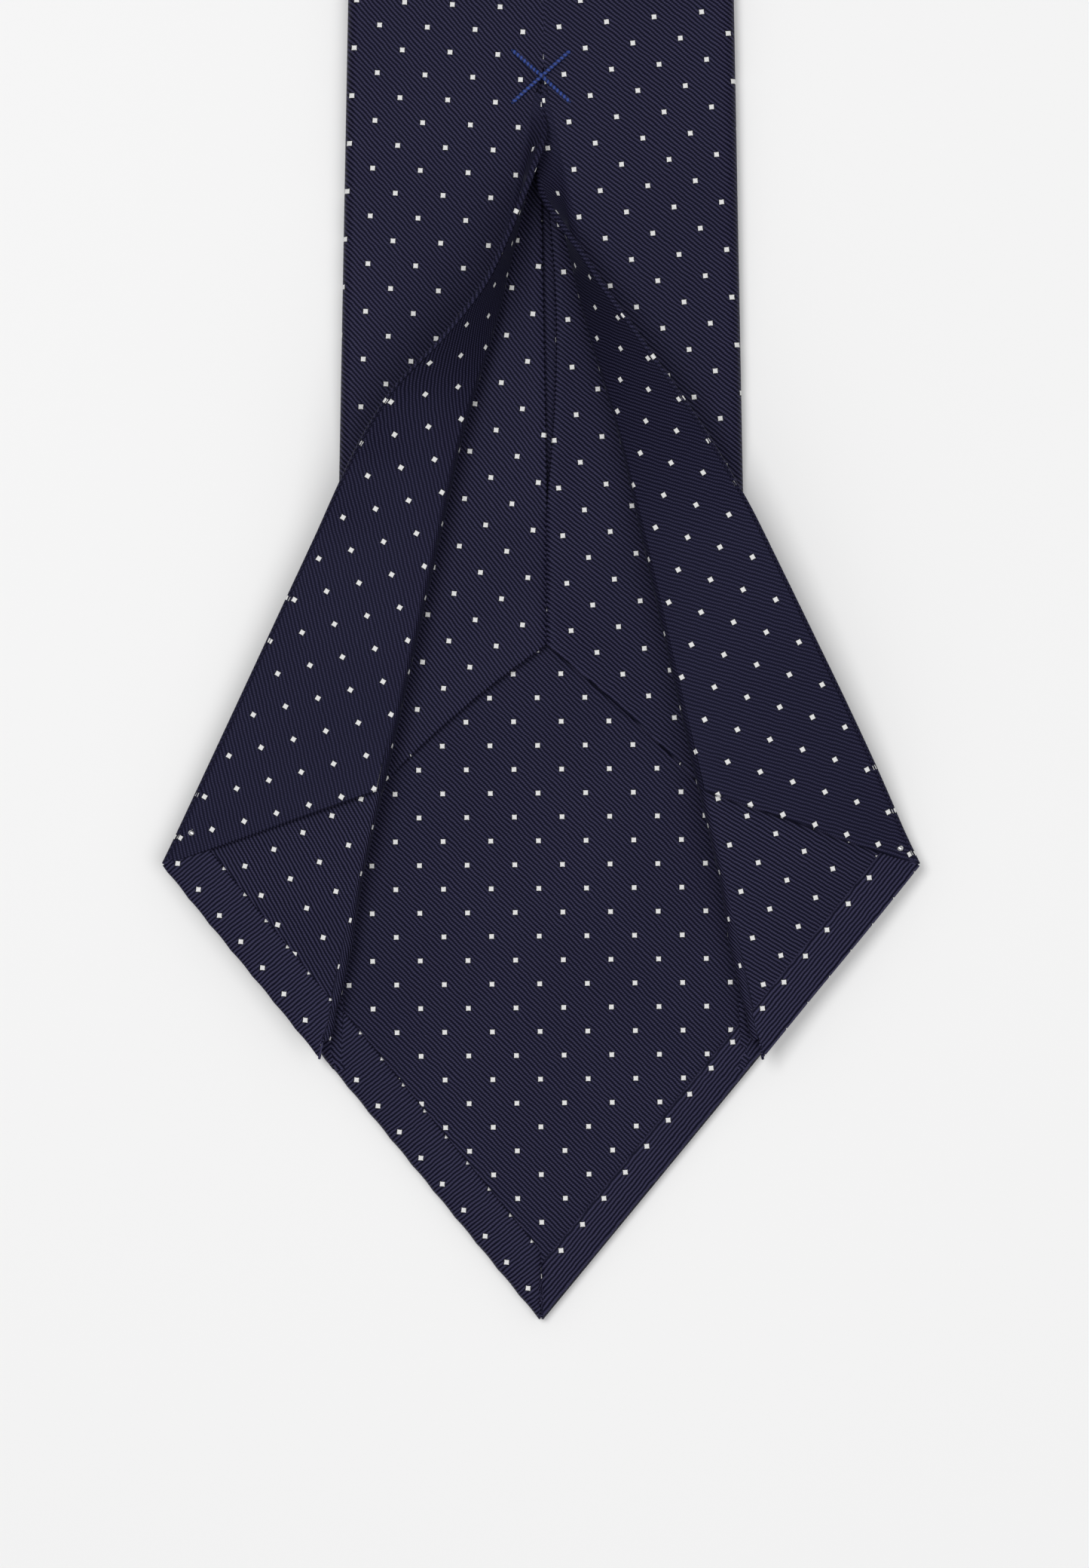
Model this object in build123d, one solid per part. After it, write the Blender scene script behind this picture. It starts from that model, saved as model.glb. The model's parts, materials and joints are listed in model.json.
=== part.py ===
from build123d import *
import os
from math import cos, hypot, radians, sin

# A seven-fold silk necktie, put away with its upper length folded to and fro.
# It lies on its front: +Z is up through its back, and its length runs along Y, with the
# point of the wide blade at the low end. Distances along the tie, called stations, are
# measured from that point. The back of the blade has three folds on each side. Below the
# bar tack, the doubled outer folds are turned outwards like lapels: these are the wings.
# Sizes are in millimetres, and the origin is at the middle of the base of the bounding box.

# The whole tie
TIE_LENGTH = 1480.0
HALF_WIDTHS = (  # station and half width; straight between them
    (0.0, 0.0),
    (51.5, 42.4),
    (265.0, 38.4),
    (450.0, 32.0),
    (600.0, 25.0),
    (750.0, 18.0),
    (900.0, 16.5),
    (1080.0, 16.5),
    (1200.0, 18.5),
    (1456.0, 24.0),
    (1480.0, 0.0),
)
BLADE_CORNER, BLADE_HALF_WIDTH = HALF_WIDTHS[1]
TAIL_CORNER, TAIL_HALF_WIDTH = HALF_WIDTHS[-2]
RUN_LENGTH = 300.0  # from one crease of the put-away length to the next
FIRST_CREASE = 600.0
NECK_SEAMS = (750.0, 1080.0)  # bias seams that join blade, neck and tail silk

# Clearances
BODY_GAP = 0.4  # between pieces that move apart, and between the folded runs
TACK_GAP = 2.2  # between the last two runs, which have the tail's bar tack between them
CENTRE_GAP = 0.2  # from the centre line to each fold's edge
WING_EDGE_GAP = 0.8  # from the centre line to each closed wing's edge
CREASE_GAP = 0.5  # from a crease to the pieces beside it
POINT_Y = (CREASE_GAP - FIRST_CREASE) / 2

# Layers of the blade, as heights above its face
FACE = (0.0, 0.9)
INTERLINING = (1.0, 2.0)
TIPPING = (2.1, 2.6)
BLADE_HEM = (2.6, 3.0)
INNER_FOLD = (2.8, 3.4)
MIDDLE_FOLD = (3.8, 4.3)
WING_HEM = (3.9, 4.3)
WING_TIPPING = (4.3, 4.6)
OUTER_FOLD = (4.6, 5.2)
BLADE_THICKNESS = OUTER_FOLD[1]

# Layers of the narrower runs
RUN_THICKNESS = 4.0
RUN_INTERLINING = (1.0, 2.2)
RUN_FOLDS = (2.3, RUN_THICKNESS)
TAIL_TIPPING = (2.3, 2.6)
TAIL_HEM = (2.6, 2.9)
TAIL_FOLDS = (3.0, RUN_THICKNESS)

# Folds of the blade
INNER_CREASE_SHARE = 0.8  # how far out the inner fold reaches, of the half width
INNER_FOLD_CORNER = 107.5  # station of its lower outer corner
INNER_FOLD_APEX = 135.5  # station where its lower edge meets the centre line
HEM_WIDTH = 8.0
TIPPING_TOP = 330.0
INTERLINING_INSET = 2.0

# The wings turn about a straight roll line, from the bar tack to the blade's side corner
ROLL_TOP = 251.5  # station, on the centre line
ROLL_FOOT_HALF_WIDTH = 44.3
ROLL_HEIGHT = 6.8
WING_TILT = 7.5  # degrees that an open wing slopes down from its roll line
WING_START = 14.0  # along the roll line, from its top
WING_CORNER = (172.6, 38.6)  # along and out from the roll line
MIDDLE_WING_FOOT = (150.1, 2.2)

# Stitching and loop
TACK_STATION = 248.7
TACK_HALF_WIDTH = 5.8
TACK_HALF_LENGTH = 5.2
THREAD_RADIUS = 0.4
THREAD_CLEARANCE = 0.05
STITCH_WIDTH = 0.3
LOOP_STATION = 282.0
LOOP_LENGTH = 10.0  # along the tie
LOOP_HALF_WIDTH = 26.0
LOOP_FOOT_WIDTH = 5.0
LOOP_OPENING = 4.7
LOOP_CLOTH = 0.8
TAIL_TACK_FROM_TIP = 110.0

# Pins that hold the wings' corners flat
PIN_ALONG = {"left": 165.3, "right": 168.7}
PIN_OUT = {"left": 34.6, "right": 35.8}
PIN_LENGTH = 14.0
PIN_RADIUS = 0.25
PIN_HEAD_RADIUS = 0.7
PIN_HEAD_RISE = 0.2  # of the head's centre over the cloth
PIN_TIP_DEPTH = 0.5  # of the tip below the cloth

os.makedirs("parts", exist_ok=True)


def save(name, shape):
    export_step(shape, f"parts/{name}.step")


def save_both(name, left_shape):
    save(f"left_{name}", left_shape)
    save(f"right_{name}", mirror(left_shape, about=Plane.YZ))


def half_width(station):
    for (low, low_width), (high, high_width) in zip(HALF_WIDTHS, HALF_WIDTHS[1:]):
        if station <= high:
            return low_width + (high_width - low_width) * (station - low) / (high - low)
    return 0.0


def slab(outline, layer):
    face = make_face(Polyline(*outline, close=True))
    return Pos(0, 0, layer[0]) * extrude(face, amount=layer[1] - layer[0])


def widths_between(low, high):
    """Stations from low to high where the side edge may bend, with both ends."""
    return [low] + [station for station, _ in HALF_WIDTHS if low < station < high] + [high]


def left_edge(low, high, inset=0.0, share=1.0):
    return [(-share * half_width(s) + inset, s) for s in widths_between(low, high)]


def tie_slab(low, high, layer, inset=0.0):
    """A layer across the whole width."""
    left = left_edge(low, high, inset)
    right = [(-x, s) for x, s in reversed(left) if x < 0]
    return slab(left + right, layer)


# ---- Blade -------------------------------------------------------------------------------

RUN_END = FIRST_CREASE - CREASE_GAP
ROLL_FOOT = ROLL_FOOT_HALF_WIDTH * BLADE_CORNER / BLADE_HALF_WIDTH
ROLL_SLOPE = ROLL_FOOT_HALF_WIDTH / (ROLL_TOP - ROLL_FOOT)
ROLL_LENGTH = hypot(ROLL_FOOT_HALF_WIDTH, ROLL_TOP - ROLL_FOOT)
EDGE_ANGLE_COS = BLADE_HALF_WIDTH / hypot(BLADE_HALF_WIDTH, BLADE_CORNER)
HEM_RISE = HEM_WIDTH / EDGE_ANGLE_COS


def on_blade(shape):
    return Pos(0, POINT_Y, 0) * shape


def roll_x(station):
    return -ROLL_SLOPE * (ROLL_TOP - station) - BODY_GAP


def blade_hem():
    """One turned-in edge, mitred on the centre line."""
    side = half_width(BLADE_CORNER + HEM_WIDTH)
    outline = [
        (-CENTRE_GAP, CENTRE_GAP * BLADE_CORNER / BLADE_HALF_WIDTH),
        (-BLADE_HALF_WIDTH, BLADE_CORNER),
        (-side, BLADE_CORNER + HEM_WIDTH),
        (-CENTRE_GAP, HEM_RISE),
    ]
    return slab(outline, BLADE_HEM)


def inner_fold():
    outline = left_edge(INNER_FOLD_CORNER, RUN_END, share=INNER_CREASE_SHARE)
    outline += [(-CENTRE_GAP, RUN_END), (-CENTRE_GAP, INNER_FOLD_APEX)]
    return slab(outline, INNER_FOLD)


def fold_beside_roll(low, layer, share):
    """The part of a doubled fold that stays closed, between the side and the roll line."""
    notch = ROLL_TOP - WING_START * (ROLL_TOP - ROLL_FOOT) / ROLL_LENGTH + BODY_GAP
    outline = left_edge(low, RUN_END, share=share)
    outline += [(-CENTRE_GAP, RUN_END), (-CENTRE_GAP, notch), (roll_x(notch), notch)]
    outline += [(roll_x(low + 1), low + 1)]
    return slab(outline, layer)


def thread(start, end, bow):
    """A thread from start to end, arched up by bow in the middle."""
    middle = (Vector(*start) + Vector(*end)) * 0.5 + Vector(0, 0, bow)
    path = ThreePointArc(start, middle, end) if bow else Line(start, end)
    section = Plane(origin=path @ 0, z_dir=path % 0) * Circle(THREAD_RADIUS)
    return sweep(section, path=path)


def bar_tack(station, back):
    """Two thick threads that cross; the second passes over the first."""
    height = back + THREAD_RADIUS + THREAD_CLEARANCE
    low, high = station - TACK_HALF_LENGTH, station + TACK_HALF_LENGTH
    under = thread((-TACK_HALF_WIDTH, low, height), (TACK_HALF_WIDTH, high, height), 0)
    bow = 2 * THREAD_RADIUS + THREAD_CLEARANCE
    over = thread((-TACK_HALF_WIDTH, high, height), (TACK_HALF_WIDTH, low, height), bow)
    return Compound([under, over])


def slip_stitch(low, high, layer):
    middle = (layer[0] + layer[1]) / 2
    length = high - low
    return Pos(0, low + length / 2, middle) * Box(STITCH_WIDTH, length, STITCH_WIDTH)


def keeper_loop():
    """A strap across the back, raised off it, on two sewn-down feet."""
    top = BLADE_THICKNESS + LOOP_OPENING
    whole = Box(2 * LOOP_HALF_WIDTH, LOOP_LENGTH, LOOP_OPENING + LOOP_CLOTH,
                align=(Align.CENTER, Align.CENTER, Align.MIN))
    opening = Box(2 * (LOOP_HALF_WIDTH - LOOP_FOOT_WIDTH), LOOP_LENGTH, LOOP_OPENING,
                  align=(Align.CENTER, Align.CENTER, Align.MIN))
    strap = whole - opening
    ridges = strap.edges().filter_by(Axis.Y).group_by(Axis.Z)[-1]
    return Pos(0, LOOP_STATION, top - LOOP_OPENING) * fillet(ridges, LOOP_FOOT_WIDTH * 0.8)


save("face_panel", on_blade(tie_slab(0, RUN_END, FACE)))
save("blade_interlining", on_blade(tie_slab(HEM_RISE, RUN_END, INTERLINING, INTERLINING_INSET)))
save("centre_tipping", on_blade(tie_slab(HEM_RISE / 2, TIPPING_TOP, TIPPING, INTERLINING_INSET / 2)))
save_both("blade_hem", on_blade(blade_hem()))
save_both("inner_fold", on_blade(inner_fold()))
save_both("middle_fold", on_blade(fold_beside_roll(INNER_FOLD_CORNER, MIDDLE_FOLD, INNER_CREASE_SHARE)))
save_both("outer_fold", on_blade(fold_beside_roll(BLADE_CORNER + HEM_WIDTH * 2, OUTER_FOLD, 1.0)))
save("blade_bar_tack", on_blade(bar_tack(TACK_STATION, BLADE_THICKNESS)))
save("blade_slip_stitch", on_blade(slip_stitch(TACK_STATION + TACK_HALF_LENGTH + 2, RUN_END, OUTER_FOLD)))
save("keeper_loop", on_blade(keeper_loop()))

# ---- Wings -------------------------------------------------------------------------------

ROLL_DOWN = Vector(-ROLL_FOOT_HALF_WIDTH, ROLL_FOOT - ROLL_TOP, 0).normalized()
ROLL_OUT = Vector(ROLL_DOWN.Y, -ROLL_DOWN.X, 0)
TILT = radians(WING_TILT)
WING_NORMAL = ROLL_OUT * sin(TILT) + Vector(0, 0, cos(TILT))
WING_PLANE = Plane(origin=(0, POINT_Y + ROLL_TOP, ROLL_HEIGHT), x_dir=ROLL_DOWN, z_dir=WING_NORMAL)
WING_WIDENING = WING_CORNER[1] / WING_CORNER[0]


def wing_slab(outline, closed_layer):
    """A layer of the left wing: outline is along and out from the roll line, and
    closed_layer says where the layer lies when the wing is closed."""
    raised = (ROLL_HEIGHT - closed_layer[1], ROLL_HEIGHT - closed_layer[0])
    return WING_PLANE * slab([(along, -out) for along, out in outline], raised)


def wing_outline(foot, corner):
    return [
        (WING_START, CENTRE_GAP),
        (WING_START, WING_START * WING_WIDENING - WING_EDGE_GAP),
        (corner[0], corner[1] - WING_EDGE_GAP),
        foot,
    ]


def hem_line_point(share, inset):
    """A point on the wing's lower edge, from the roll line out, moved in by inset."""
    foot, corner = (ROLL_LENGTH, 0.0), WING_CORNER
    edge = hypot(corner[0] - foot[0], corner[1] - foot[1])
    along = foot[0] + (corner[0] - foot[0]) * share - inset * corner[1] / edge
    out = foot[1] + (corner[1] - foot[1]) * share + inset * (corner[0] - foot[0]) / edge
    return (along, max(out, CENTRE_GAP))


def wing_tipping_outline():
    corner = hem_line_point(1.0, HEM_WIDTH / 2)
    return wing_outline(hem_line_point(0.0, HEM_WIDTH / 2), corner)


def wing_hem(middle_wing):
    """The turned-in edge, where the middle wing doesn't cover it."""
    outline = [
        (ROLL_LENGTH, CENTRE_GAP),
        (WING_CORNER[0], WING_CORNER[1] - WING_EDGE_GAP),
        hem_line_point(1.0, HEM_WIDTH),
        hem_line_point(0.0, HEM_WIDTH),
    ]
    return wing_slab(outline, WING_HEM) - middle_wing


def pin(side):
    """A straight pin with a round head, slipped up the wing between its two layers."""
    cloth = ROLL_HEIGHT - MIDDLE_FOLD[0]
    along, out = PIN_ALONG[side], PIN_OUT[side]
    head_centre = Vector(along, -out, cloth + PIN_HEAD_RISE)
    tip = Vector(along - PIN_LENGTH, -out + PIN_LENGTH * WING_WIDENING, cloth - PIN_TIP_DEPTH)
    path = Line(head_centre, tip)
    shaft = sweep(Plane(origin=path @ 0, z_dir=path % 0) * Circle(PIN_RADIUS), path=path)
    placed = WING_PLANE * (shaft + Pos(*head_centre) * Sphere(PIN_HEAD_RADIUS))
    return placed if side == "left" else mirror(placed, about=Plane.YZ)


outer_wing = wing_slab(wing_outline((ROLL_LENGTH, CENTRE_GAP), WING_CORNER), OUTER_FOLD)
middle_wing = wing_slab(wing_outline(MIDDLE_WING_FOOT, WING_CORNER), MIDDLE_FOLD)
save_both("outer_wing", outer_wing)
save_both("middle_wing", middle_wing)
save_both("wing_tipping", wing_slab(wing_tipping_outline(), WING_TIPPING))
save_both("wing_hem", wing_hem(middle_wing))
for side in ("left", "right"):
    save(f"{side}_corner_pin", pin(side))

# ---- Upper runs --------------------------------------------------------------------------
# The second, third and last runs lie on the blade and on each other, turned over each time.


def in_run(shape, run):
    """Moves a shape from station and height above the face to its place in a run."""
    base = BLADE_THICKNESS + (run - 2) * (RUN_THICKNESS + BODY_GAP)
    base += TACK_GAP if run == 4 else BODY_GAP
    if run % 2 == 1:
        return Pos(0, POINT_Y - (run - 1) * RUN_LENGTH, base) * shape
    turned = Rot(180, 0, 0) * shape
    return Pos(0, POINT_Y + FIRST_CREASE + run * RUN_LENGTH, base + RUN_THICKNESS) * turned


def seam_station(seam, x, layer_side):
    """Where a bias seam crosses the tie: straight in the flat silk, and turned back with
    it in the folds."""
    if layer_side == "face":
        return seam + x
    width = half_width(seam)
    return seam + (-1 if layer_side == "left" else 1) * (2 * width - abs(x))


def end_stations(end, outer, inner, layer_side):
    """The stations of one end of a panel, at its outer and its inner edge."""
    if end in NECK_SEAMS:
        return seam_station(end, outer, layer_side), seam_station(end, inner, layer_side)
    return end, end


def silk_panel(low, high, layer_side):
    """A face or folded panel of silk between two ends, each a cut or a bias seam."""
    sign = 1 if layer_side == "right" else -1
    layer = FACE if layer_side == "face" else RUN_FOLDS
    outlines = []
    for end in (low, high):
        width = half_width(end)
        inner = width if layer_side == "face" else sign * CENTRE_GAP
        outer_station, inner_station = end_stations(end, sign * width, inner, layer_side)
        outlines.append(((sign * width, outer_station), (inner, inner_station)))
    (low_outer, low_inner), (high_outer, high_inner) = outlines
    bends = [s for s, _ in HALF_WIDTHS if low_outer[1] < s < high_outer[1] and s not in NECK_SEAMS]
    outer_bends = [(sign * half_width(s), s) for s in bends]
    inner_bends = [(half_width(s), s) for s in reversed(bends)] if layer_side == "face" else []
    return slab([low_outer, *outer_bends, high_outer, high_inner, *inner_bends, low_inner], layer)


def tail_fold():
    """The left fold of the tail; its lower edge runs up and in from the tail's corner."""
    low = FIRST_CREASE + 2 * RUN_LENGTH + CREASE_GAP
    outline = left_edge(low, TAIL_CORNER - 1)
    outline += [(-CENTRE_GAP, TAIL_CORNER - TAIL_HALF_WIDTH), (-CENTRE_GAP, low)]
    return slab(outline, TAIL_FOLDS)


def tail_hem():
    side = TAIL_CORNER - HEM_WIDTH
    outline = [
        (-CENTRE_GAP, TIE_LENGTH - CENTRE_GAP),
        (-TAIL_HALF_WIDTH, TAIL_CORNER),
        (-half_width(side), side),
        (-CENTRE_GAP, TIE_LENGTH - HEM_WIDTH * 2 ** 0.5),
    ]
    return slab(outline, TAIL_HEM)


blade_seam, tail_seam = NECK_SEAMS
run_ends = [FIRST_CREASE + step * RUN_LENGTH for step in range(3)]
PANELS = (  # name, run, first and last station
    ("upper_blade", 2, run_ends[0] + CREASE_GAP, blade_seam),
    ("lower_neck", 2, blade_seam, run_ends[1] - CREASE_GAP),
    ("upper_neck", 3, run_ends[1] + CREASE_GAP, tail_seam),
    ("upper_tail", 3, tail_seam, run_ends[2] - CREASE_GAP),
)
for name, run, low, high in PANELS:
    for layer_side in ("face", "left", "right"):
        suffix = "face" if layer_side == "face" else f"{layer_side}_fold"
        save(f"{name}_{suffix}", in_run(silk_panel(low, high, layer_side), run))

for run, name in ((2, "upper"), (3, "neck")):
    low = run_ends[run - 2] + CREASE_GAP
    high = run_ends[run - 1] - CREASE_GAP
    save(f"{name}_interlining", in_run(tie_slab(low, high, RUN_INTERLINING, INTERLINING_INSET), run))
    save(f"{name}_slip_stitch", in_run(slip_stitch(low, high, RUN_FOLDS), run))

tail_low = run_ends[2] + CREASE_GAP
tail_tack = TIE_LENGTH - TAIL_TACK_FROM_TIP
stitch_end = tail_tack - TACK_HALF_LENGTH - 2
save("tail_face", in_run(tie_slab(tail_low, TIE_LENGTH, FACE), 4))
save("tail_interlining", in_run(tie_slab(tail_low, TAIL_CORNER, RUN_INTERLINING, INTERLINING_INSET), 4))
save("tail_tipping", in_run(tie_slab(tail_tack, TAIL_CORNER + HEM_WIDTH, TAIL_TIPPING, 1.0), 4))
save("tail_bar_tack", in_run(bar_tack(tail_tack, RUN_THICKNESS), 4))
save("tail_slip_stitch", in_run(slip_stitch(tail_low, stitch_end, TAIL_FOLDS), 4))
for side, turn in (("left", 1), ("right", -1)):
    for name, shape in (("fold", tail_fold()), ("hem", tail_hem())):
        placed = shape if turn == 1 else mirror(shape, about=Plane.YZ)
        save(f"tail_{side}_{name}", in_run(placed, 4))
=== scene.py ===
import json
from math import cos, hypot, pi, radians, sin

import bmesh
import bpy
import numpy as np
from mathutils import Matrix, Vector


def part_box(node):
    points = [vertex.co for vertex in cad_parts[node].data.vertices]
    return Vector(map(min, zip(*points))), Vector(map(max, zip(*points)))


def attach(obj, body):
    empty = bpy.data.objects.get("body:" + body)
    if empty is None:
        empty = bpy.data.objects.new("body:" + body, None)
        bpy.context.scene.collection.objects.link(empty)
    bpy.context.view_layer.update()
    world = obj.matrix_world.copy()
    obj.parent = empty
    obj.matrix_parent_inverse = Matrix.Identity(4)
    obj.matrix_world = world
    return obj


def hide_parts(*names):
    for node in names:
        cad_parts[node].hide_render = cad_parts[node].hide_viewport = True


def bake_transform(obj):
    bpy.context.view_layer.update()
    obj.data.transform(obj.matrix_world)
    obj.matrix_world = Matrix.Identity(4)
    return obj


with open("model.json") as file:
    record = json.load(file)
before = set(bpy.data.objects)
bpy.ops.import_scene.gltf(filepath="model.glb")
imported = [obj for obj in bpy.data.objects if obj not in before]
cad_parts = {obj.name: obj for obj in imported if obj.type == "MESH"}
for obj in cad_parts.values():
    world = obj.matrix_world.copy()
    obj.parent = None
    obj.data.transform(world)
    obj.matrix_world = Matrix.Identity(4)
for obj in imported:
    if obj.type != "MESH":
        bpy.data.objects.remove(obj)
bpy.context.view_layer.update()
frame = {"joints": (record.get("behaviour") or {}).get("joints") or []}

# Lengths are in millimetres up to make_sheet and make_thread, which turn them into metres.
# A station is the distance up the tie from the blade's point.
MM = 0.001

# ---- Sizes ----------------------------------------------------------------------------------

SILK = 0.42  # thickness of one layer
FIRST_CREASE = 600.0
BLADE_CORNER = 51.5  # station where the blade's point begins
HALF_WIDTHS = [(0, 0), (51.5, 42.4), (265, 38.4), (450, 32), (600, 25), (750, 18), (900, 16.5),
               (1080, 16.5), (1200, 18.5), (1456, 24), (1480, 0)]
POINT_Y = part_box("face_panel")[0].y / MM
TIPPING_Z = 2.4
INNER_FOLD_Z = 3.1
MIDDLE_FOLD_Z = 4.05
OUTER_FOLD_Z = 4.9
INNER_APEX = (1.1, 135.5)  # where the two inner folds' lower edges meet
INNER_CORNER = (34.5, 106.5)
HEM_WIDTHS = {"left": 8.6, "right": 7.0}
SLIT = (160.0, 240.0, 2.6)  # the gap between the inner folds: from, to and widest

DOT_PITCH = 6.75
DOT_RADIUS = 0.72
RIB_PITCH = 0.73
STITCH_PITCH = 0.46

# The roll line, about which a wing turns, and the wing's outline along it and out from it
JOINTS = {joint["name"]: joint for joint in frame["joints"]}
ROLL_TOP = np.array(JOINTS["left_wing_fold"]["pos_m"]) / MM
LEFT_DOWN = -np.array(JOINTS["left_wing_fold"]["axis"])
ROLL_IN = np.array([-LEFT_DOWN[1], LEFT_DOWN[0], 0.0])
ROLL_TOP_STATION = ROLL_TOP[1] - POINT_Y
OUTER_RADIUS = 1.9  # from the roll line to each layer of the wing
TIPPING_RADIUS = 2.35
MIDDLE_RADIUS = 2.75
LEAF_START = 6.0
WING_FOOT = 202.6
WING_CORNER = (172.6, 38.6)
MIDDLE_FOOT = 148.7
EDGE_RATE = WING_CORNER[1] / WING_CORNER[0]
OPEN_TURN = 187.5  # degrees that an open wing has turned
TURNS = {
    "left": [(6, 0), (9, 0), (13, 40), (18, 72), (28, 90), (46, 107), (61, 131), (70, 154), (85, 178),
             (100, OPEN_TURN)],
    "right": [(6, 0), (18, 0), (26, 50), (32, 80), (40, 102), (55, 124), (69, 139), (82, 153),
              (97, 166), (126, 173), (150, 181), (165, OPEN_TURN)],
}

PINS = {"left": (165.3, 34.6), "right": (168.7, 35.8)}  # along the roll line and out from it
PIN_HEAD, PIN_SHAFT = 0.75, 0.25
PIN_SINK = 0.75  # of the shaft into the cloth, below the middle of the head

# How the woven pattern lies on each panel: the turn of its rows, and a place with a dot. These are
# fitted to the real object's dots.
LATTICES = {
    "front": (45.0, (0.0, 80.0)),
    "tipping": (45.5, (-0.35, 77.05)),
    "left_outer": (42.2, (-24.1, 230.03)),
    "right_outer": (51.0, (21.33, 226.98)),
    "left_wing": (13.9, (-39.42, 132.75)),
    "right_wing": (72.9, (43.04, 131.24)),
    "left_inner": (38.7, (-11.07, 159.31)),
    "right_inner": (50.0, (9.51, 152.81)),
    "left_wing_tipping": (29.7, (-46.57, 82.76)),
    "right_wing_tipping": (58.7, (48.96, 88.35)),
    "tube": (45.0, (0.0, 0.0)),
}


def half_width(station):
    return np.interp(station, *zip(*HALF_WIDTHS))


def ease(t):
    t = np.clip(t, 0.0, 1.0)
    return t * t * (3 - 2 * t)


def woven(name, x, station):
    """Flat places on a panel, turned so that dots lie at whole numbers of DOT_PITCH."""
    turn, (dot_x, dot_station) = LATTICES[name]
    c, s = cos(radians(turn)), sin(radians(turn))
    dx, ds = x - dot_x, station - dot_station
    return np.stack([dx * c + ds * s, ds * c - dx * s], axis=-1)


def stack(x, y, z):
    return np.stack(np.broadcast_arrays(x, y, z), axis=-1)


# ---- Making pieces ---------------------------------------------------------------------------

def make_sheet(name, grids, thickness, material, weld=0.02):
    """A sheet of cloth from grids of (places, flat places), welded and then thickened."""
    mesh = bpy.data.meshes.new(name)
    bm = bmesh.new()
    flat_layer = bm.loops.layers.uv.new("flat")
    for places, flats in grids:
        rows, columns = places.shape[:2]
        verts = [[bm.verts.new(places[i, j] * MM) for j in range(columns)] for i in range(rows)]
        for i in range(rows - 1):
            for j in range(columns - 1):
                corners = [(i, j), (i, j + 1), (i + 1, j + 1), (i + 1, j)]
                face = bm.faces.new([verts[a][b] for a, b in corners])
                for loop, (a, b) in zip(face.loops, corners):
                    loop[flat_layer].uv = flats[a, b]
    bmesh.ops.remove_doubles(bm, verts=bm.verts, dist=weld * MM)
    bmesh.ops.dissolve_degenerate(bm, edges=bm.edges, dist=weld * MM * 0.5)
    bm.to_mesh(mesh)
    bm.free()
    piece = bpy.data.objects.new(name, mesh)
    bpy.context.collection.objects.link(piece)
    if thickness:
        solidify = piece.modifiers.new("thickness", "SOLIDIFY")
        solidify.thickness = thickness * MM
        solidify.offset = 0
        graph = bpy.context.evaluated_depsgraph_get()
        solid = bpy.data.meshes.new_from_object(piece.evaluated_get(graph))
        piece.modifiers.clear()
        piece.data = solid
    for polygon in piece.data.polygons:
        polygon.use_smooth = True
    piece.data.set_sharp_from_angle(angle=radians(50))
    piece.data.materials.clear()
    piece.data.materials.append(material)
    return piece


def mirrored(side, places):
    """Places given for the left side, on the side asked for."""
    if side == "left":
        return places
    return places * np.array([-1.0, 1.0, 1.0])


# ---- Materials -------------------------------------------------------------------------------

class Graph:
    """A material's nodes, written as a chain of calls."""

    def __init__(self, name):
        self.material = bpy.data.materials.new(name)
        self.material.use_nodes = True
        self.tree = self.material.node_tree
        self.tree.nodes.clear()
        self.shader = self.tree.nodes.new("ShaderNodeBsdfPrincipled")
        output = self.tree.nodes.new("ShaderNodeOutputMaterial")
        self.tree.links.new(self.shader.outputs[0], output.inputs["Surface"])

    def put(self, value, socket):
        if isinstance(value, bpy.types.NodeSocket):
            self.tree.links.new(value, socket)
        else:
            socket.default_value = value

    def maths(self, operation, *values, clamp=False):
        node = self.tree.nodes.new("ShaderNodeMath")
        node.operation = operation
        node.use_clamp = clamp
        for value, socket in zip(values, node.inputs):
            self.put(value, socket)
        return node.outputs[0]

    def flat(self):
        node = self.tree.nodes.new("ShaderNodeUVMap")
        node.uv_map = "flat"
        parts = self.tree.nodes.new("ShaderNodeSeparateXYZ")
        self.tree.links.new(node.outputs["UV"], parts.inputs[0])
        return node.outputs["UV"], parts.outputs[0], parts.outputs[1]

    def object_place(self):
        return self.tree.nodes.new("ShaderNodeTexCoord").outputs["Object"]

    def noise(self, place, scale, detail=3.0):
        node = self.tree.nodes.new("ShaderNodeTexNoise")
        self.tree.links.new(place, node.inputs["Vector"])
        node.inputs["Scale"].default_value = scale
        node.inputs["Detail"].default_value = detail
        return node.outputs["Fac"]

    def mix(self, share, low, high):
        node = self.tree.nodes.new("ShaderNodeMix")
        node.data_type = "RGBA"
        self.put(share, node.inputs["Factor"])
        self.put(low, node.inputs["A"])
        self.put(high, node.inputs["B"])
        return node.outputs["Result"]

    def spread(self, value, low, high, new_low=0.0, new_high=1.0):
        node = self.tree.nodes.new("ShaderNodeMapRange")
        node.interpolation_type = "SMOOTHSTEP"
        for socket, number in zip(node.inputs, (value, low, high, new_low, new_high)):
            self.put(number, socket)
        return node.outputs[0]

    def bump(self, height, distance, strength=1.0):
        node = self.tree.nodes.new("ShaderNodeBump")
        node.inputs["Distance"].default_value = distance * MM
        node.inputs["Strength"].default_value = strength
        self.tree.links.new(height, node.inputs["Height"])
        self.tree.links.new(node.outputs[0], self.shader.inputs["Normal"])


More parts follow.
